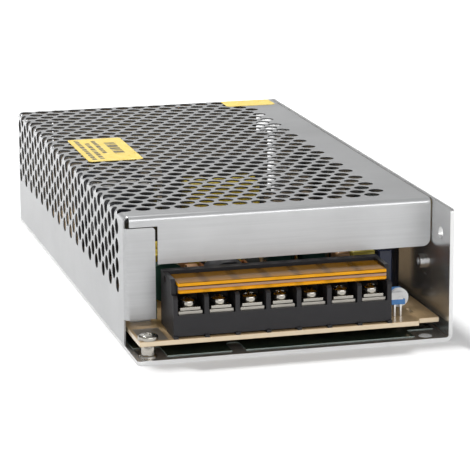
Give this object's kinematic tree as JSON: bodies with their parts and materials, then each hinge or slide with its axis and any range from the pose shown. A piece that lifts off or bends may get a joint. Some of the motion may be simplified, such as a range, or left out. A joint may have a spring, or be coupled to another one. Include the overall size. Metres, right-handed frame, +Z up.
{
  "type": "mesh case switching power supply",
  "caption": "Folded sheet power supply with a perforated cover, hinged lid over a screw terminal block, and an output trimmer.",
  "frame": {"origin": "middle of the case's footprint, on the underside of the base plate", "axes": "+Y runs back along the case from the terminals, +X to the folded side wall, +Z up"},
  "size_m": [0.098, 0.199, 0.0411],
  "materials": {
    "black_sleeve": "sleeve",
    "block_plastic": "moulded",
    "blue_case": "sleeve",
    "blue_plastic": "moulded",
    "board": "phenolic laminate",
    "bulk_sleeve": "sleeve",
    "chassis_sheet": "bright rolled",
    "clamp_metal": "nickel plated",
    "copper_wire": "enamelled",
    "cover_sheet": "galvanised",
    "dark_disc": "dipped",
    "dark_ferrite": "sintered",
    "device_case": "moulded",
    "film": "clear film",
    "fuse_glass": "clear",
    "green_disc": "dipped",
    "green_sleeve": "sleeve",
    "lid_plastic": "clear amber",
    "pad_rubber": "soft",
    "resistor_body": "lacquered",
    "screw_metal": "nickel plated",
    "standoff_metal": "nickel plated",
    "sticker": "printed vinyl",
    "tan_case": "dipped",
    "tan_disc": "dipped",
    "tinned_metal": "tinned",
    "white_plastic": "moulded",
    "yellow_case": "moulded",
    "yellow_ring": "coated",
    "yellow_tape": "wound tape"
  },
  "bodies": {
    "power_supply": {"blue_capacitor": "blue_case", "board_screws": "screw_metal", "board_standoffs": "standoff_metal", "bridge_rectifier": "device_case", "bulk_capacitors": "bulk_sleeve", "chassis": "chassis_sheet", "circuit_board": "board", "clamp_bars": "tinned_metal", "clamp_screws": "screw_metal", "control_chip": "device_case", "cover_screws": "screw_metal", "drive_core": "dark_ferrite", "drive_winding": "yellow_tape", "earth_capacitors": "tan_disc", "filter_choke_core": "dark_ferrite", "filter_choke_winding": "copper_wire", "fuse_clips": "tinned_metal", "fuse_tube": "fuse_glass", "insulating_film": "film", "insulating_pads": "pad_rubber", "label_front": "sticker", "label_rear": "sticker", "mesh_cover": "cover_sheet", "output_capacitors": "green_sleeve", "output_choke_core": "yellow_ring", "output_choke_winding": "copper_wire", "output_rectifiers": "device_case", "power_resistors": "resistor_body", "side_capacitor": "black_sleeve", "small_capacitors": "black_sleeve", "small_resistors": "resistor_body", "suppression_capacitors": "yellow_case", "switch_transistors": "device_case", "tan_capacitor": "tan_case", "terminal_block": "block_plastic", "terminal_contacts": "tinned_metal", "thermistor": "dark_disc", "transformer_core": "dark_ferrite", "transformer_winding": "yellow_tape", "trimmer_body": "blue_plastic", "trimmer_cap": "white_plastic", "trimmer_pins": "tinned_metal", "varistor": "green_disc", "yellow_capacitor": "yellow_case"},
    "terminal_cover": {"terminal_cover": "lid_plastic"},
    "trimmer_dial": {"trimmer_dial": "white_plastic"},
    "clamp_1": {"clamp_plate_1": "clamp_metal"},
    "screw_1": {"terminal_screw_1": "screw_metal"},
    "clamp_2": {"clamp_plate_2": "clamp_metal"},
    "screw_2": {"terminal_screw_2": "screw_metal"},
    "clamp_3": {"clamp_plate_3": "clamp_metal"},
    "screw_3": {"terminal_screw_3": "screw_metal"},
    "clamp_4": {"clamp_plate_4": "clamp_metal"},
    "screw_4": {"terminal_screw_4": "screw_metal"},
    "clamp_5": {"clamp_plate_5": "clamp_metal"},
    "screw_5": {"terminal_screw_5": "screw_metal"},
    "clamp_6": {"clamp_plate_6": "clamp_metal"},
    "screw_6": {"terminal_screw_6": "screw_metal"},
    "clamp_7": {"clamp_plate_7": "clamp_metal"},
    "screw_7": {"terminal_screw_7": "screw_metal"}
  },
  "joints": [
    {"name": "terminal_cover_hinge", "type": "hinge", "parent": "power_supply", "child": "terminal_cover", "pos_m": [-0.00335, -0.0855, 0.0222], "axis": [-1, 0, 0], "range_deg": [0, 92]},
    {"name": "trimmer_turn", "type": "hinge", "parent": "power_supply", "child": "trimmer_dial", "pos_m": [0.0354, -0.0885, 0.012], "axis": [0, 1, 0], "range_deg": [-135, 135]},
    {"name": "clamp_slide_1", "type": "slide", "parent": "power_supply", "child": "clamp_1", "axis": [0, 0, 1], "range_m": [0, 0.003]},
    {"name": "screw_turn_1", "type": "hinge", "parent": "clamp_1", "child": "screw_1", "pos_m": [-0.03185, -0.0915, 0.016], "axis": [0, 0, 1], "range_deg": [0, 2160]},
    {"name": "clamp_slide_2", "type": "slide", "parent": "power_supply", "child": "clamp_2", "axis": [0, 0, 1], "range_m": [0, 0.003]},
    {"name": "screw_turn_2", "type": "hinge", "parent": "clamp_2", "child": "screw_2", "pos_m": [-0.02235, -0.0915, 0.016], "axis": [0, 0, 1], "range_deg": [0, 2160]},
    {"name": "clamp_slide_3", "type": "slide", "parent": "power_supply", "child": "clamp_3", "axis": [0, 0, 1], "range_m": [0, 0.003]},
    {"name": "screw_turn_3", "type": "hinge", "parent": "clamp_3", "child": "screw_3", "pos_m": [-0.01285, -0.0915, 0.016], "axis": [0, 0, 1], "range_deg": [0, 2160]},
    {"name": "clamp_slide_4", "type": "slide", "parent": "power_supply", "child": "clamp_4", "axis": [0, 0, 1], "range_m": [0, 0.003]},
    {"name": "screw_turn_4", "type": "hinge", "parent": "clamp_4", "child": "screw_4", "pos_m": [-0.00335, -0.0915, 0.016], "axis": [0, 0, 1], "range_deg": [0, 2160]},
    {"name": "clamp_slide_5", "type": "slide", "parent": "power_supply", "child": "clamp_5", "axis": [0, 0, 1], "range_m": [0, 0.003]},
    {"name": "screw_turn_5", "type": "hinge", "parent": "clamp_5", "child": "screw_5", "pos_m": [0.00615, -0.0915, 0.016], "axis": [0, 0, 1], "range_deg": [0, 2160]},
    {"name": "clamp_slide_6", "type": "slide", "parent": "power_supply", "child": "clamp_6", "axis": [0, 0, 1], "range_m": [0, 0.003]},
    {"name": "screw_turn_6", "type": "hinge", "parent": "clamp_6", "child": "screw_6", "pos_m": [0.01565, -0.0915, 0.016], "axis": [0, 0, 1], "range_deg": [0, 2160]},
    {"name": "clamp_slide_7", "type": "slide", "parent": "power_supply", "child": "clamp_7", "axis": [0, 0, 1], "range_m": [0, 0.003]},
    {"name": "screw_turn_7", "type": "hinge", "parent": "clamp_7", "child": "screw_7", "pos_m": [0.02515, -0.0915, 0.016], "axis": [0, 0, 1], "range_deg": [0, 2160]}
  ],
  "couplings": [
    {"joint": "screw_turn_1", "follows": "clamp_slide_1", "rad_per_m": 12566},
    {"joint": "screw_turn_2", "follows": "clamp_slide_2", "rad_per_m": 12566},
    {"joint": "screw_turn_3", "follows": "clamp_slide_3", "rad_per_m": 12566},
    {"joint": "screw_turn_4", "follows": "clamp_slide_4", "rad_per_m": 12566},
    {"joint": "screw_turn_5", "follows": "clamp_slide_5", "rad_per_m": 12566},
    {"joint": "screw_turn_6", "follows": "clamp_slide_6", "rad_per_m": 12566},
    {"joint": "screw_turn_7", "follows": "clamp_slide_7", "rad_per_m": 12566}
  ]
}
